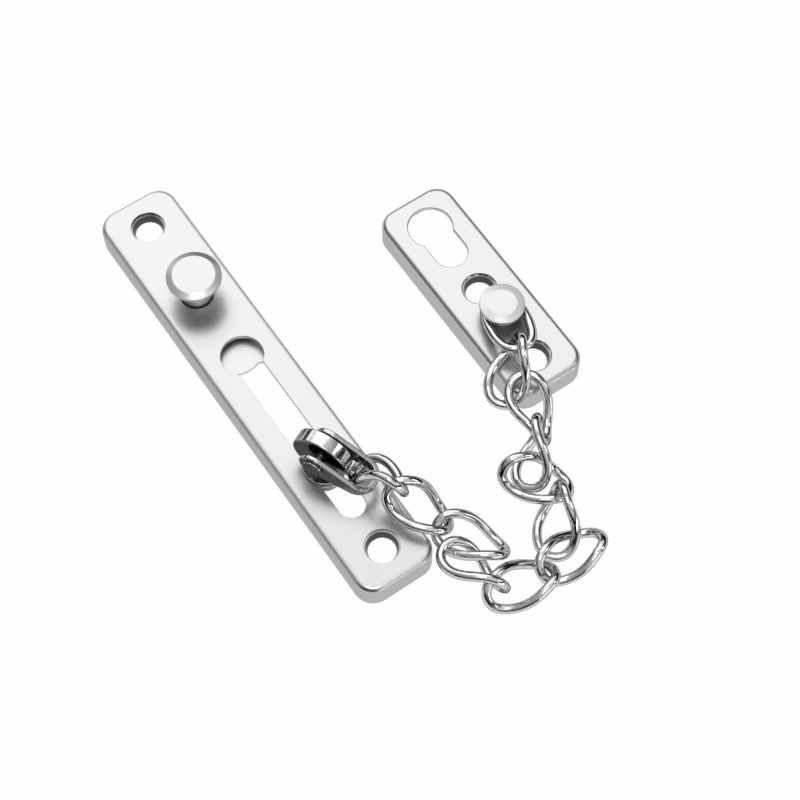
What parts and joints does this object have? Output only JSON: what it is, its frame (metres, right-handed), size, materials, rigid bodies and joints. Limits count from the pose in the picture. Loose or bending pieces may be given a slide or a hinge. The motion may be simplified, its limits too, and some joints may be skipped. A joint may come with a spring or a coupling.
{
  "type": "door chain",
  "caption": "Door security chain: a slotted tray plate with a press-release knob, a sliding stud and shackle, and twisted links joined to a short keeper plate.",
  "frame": {"origin": "centre of the long plate in its back plane", "axes": "+Y along the long plate towards the knob, +X across towards the short plate, +Z out of the plates' faces"},
  "size_m": [0.0766, 0.1407, 0.0217],
  "materials": {
    "plate_steel": "satin brushed along the length",
    "turned_steel": "turned satin",
    "spring_steel": "rolled",
    "bright_steel": "polished"
  },
  "bodies": {
    "long_plate": {"long_plate": "plate_steel"},
    "release": {"release_knob": "turned_steel", "lock_leaf": "spring_steel"},
    "stud": {"slide_stud": "turned_steel"},
    "shackle": {"shackle": "bright_steel", "shackle_rivet": "turned_steel"},
    "link_01": {"link_01": "bright_steel"},
    "link_02": {"link_02": "bright_steel"},
    "link_03": {"link_03": "bright_steel"},
    "link_04": {"link_04": "bright_steel"},
    "link_05": {"link_05": "bright_steel"},
    "link_06": {"link_06": "bright_steel"},
    "link_07": {"link_07": "bright_steel"},
    "link_08": {"link_08": "bright_steel"},
    "link_09": {"link_09": "bright_steel"},
    "link_10": {"link_10": "bright_steel"},
    "link_11": {"link_11": "bright_steel"},
    "anchor_link": {"anchor_link": "bright_steel"},
    "keeper": {"short_plate": "plate_steel", "anchor_stud": "turned_steel"}
  },
  "joints": [
    {"name": "press", "type": "hinge", "parent": "long_plate", "child": "release", "pos_m": [0, 0.044, 0.006], "axis": [1, 0, 0], "range_deg": [0, 4], "stiffness_Nm_per_rad": 0.3},
    {"name": "stud_slide", "type": "slide", "parent": "long_plate", "child": "stud", "axis": [0, 1, 0], "range_m": [-0.0114, 0.0269]},
    {"name": "shackle_pivot", "type": "hinge", "parent": "stud", "child": "shackle", "pos_m": [0, -0.0269, 0.0148], "axis": [-0.8988, -0.4384, 0], "range_deg": [0, 80]},
    {"name": "swing_01", "type": "hinge", "parent": "shackle", "child": "link_01", "pos_m": [0.00283, -0.03642, 0.01391], "axis": [-0.8988, -0.4384, 0], "range_deg": [-3, 30]},
    {"name": "swing_02", "type": "hinge", "parent": "link_01", "child": "link_02", "pos_m": [0.01019, -0.04419, 0.01544], "axis": [-0.9102, 0.4063, 0.0798], "range_deg": [-13, 11]},
    {"name": "swing_03", "type": "hinge", "parent": "link_02", "child": "link_03", "pos_m": [0.01412, -0.05436, 0.00781], "axis": [0.8276, 0.3288, 0.4548], "range_deg": [-13, 13]},
    {"name": "swing_04", "type": "hinge", "parent": "link_03", "child": "link_04", "pos_m": [0.01207, -0.05919, 0.0074], "axis": [0.292, -0.9317, 0.2162], "range_deg": [-19, 32]},
    {"name": "swing_05", "type": "hinge", "parent": "link_04", "child": "link_05", "pos_m": [0.01537, -0.0721, 0.00943], "axis": [0.6083, -0.6625, -0.4371], "range_deg": [-30, 34]},
    {"name": "swing_06", "type": "hinge", "parent": "link_05", "child": "link_06", "pos_m": [0.02707, -0.07414, 0.00487], "axis": [0.69, -0.6964, 0.1975], "range_deg": [-19, 21]},
    {"name": "swing_07", "type": "hinge", "parent": "link_06", "child": "link_07", "pos_m": [0.03721, -0.07226, 0.00419], "axis": [0.8851, -0.2518, -0.3914], "range_deg": [-26, 29]},
    {"name": "swing_08", "type": "hinge", "parent": "link_07", "child": "link_08", "pos_m": [0.04021, -0.06247, 0.00652], "axis": [-0.5592, -0.2295, -0.7967], "range_deg": [-19, 13]},
    {"name": "swing_09", "type": "hinge", "parent": "link_08", "child": "link_09", "pos_m": [0.04134, -0.0542, 0.01095], "axis": [0.2036, 0.8053, 0.5569], "range_deg": [-30, 2]},
    {"name": "swing_10", "type": "hinge", "parent": "link_09", "child": "link_10", "pos_m": [0.04502, -0.04604, 0.01116], "axis": [0.1594, -0.9737, -0.1626], "range_deg": [-9, 26]},
    {"name": "swing_11", "type": "hinge", "parent": "link_10", "child": "link_11", "pos_m": [0.04478, -0.03777, 0.00795], "axis": [0.9166, -0.2869, 0.2783], "range_deg": [-1, 16]},
    {"name": "swing_12", "type": "hinge", "parent": "link_11", "child": "anchor_link", "pos_m": [0.05147, -0.02718, 0.01096], "axis": [0.3838, -0.9059, 0.1791], "range_deg": [-1, 16]},
    {"name": "keeper_turn", "type": "hinge", "parent": "anchor_link", "child": "keeper", "pos_m": [0.05665, -0.0176, 0], "axis": [0, 0, -1], "range_deg": [-90, 10]}
  ]
}
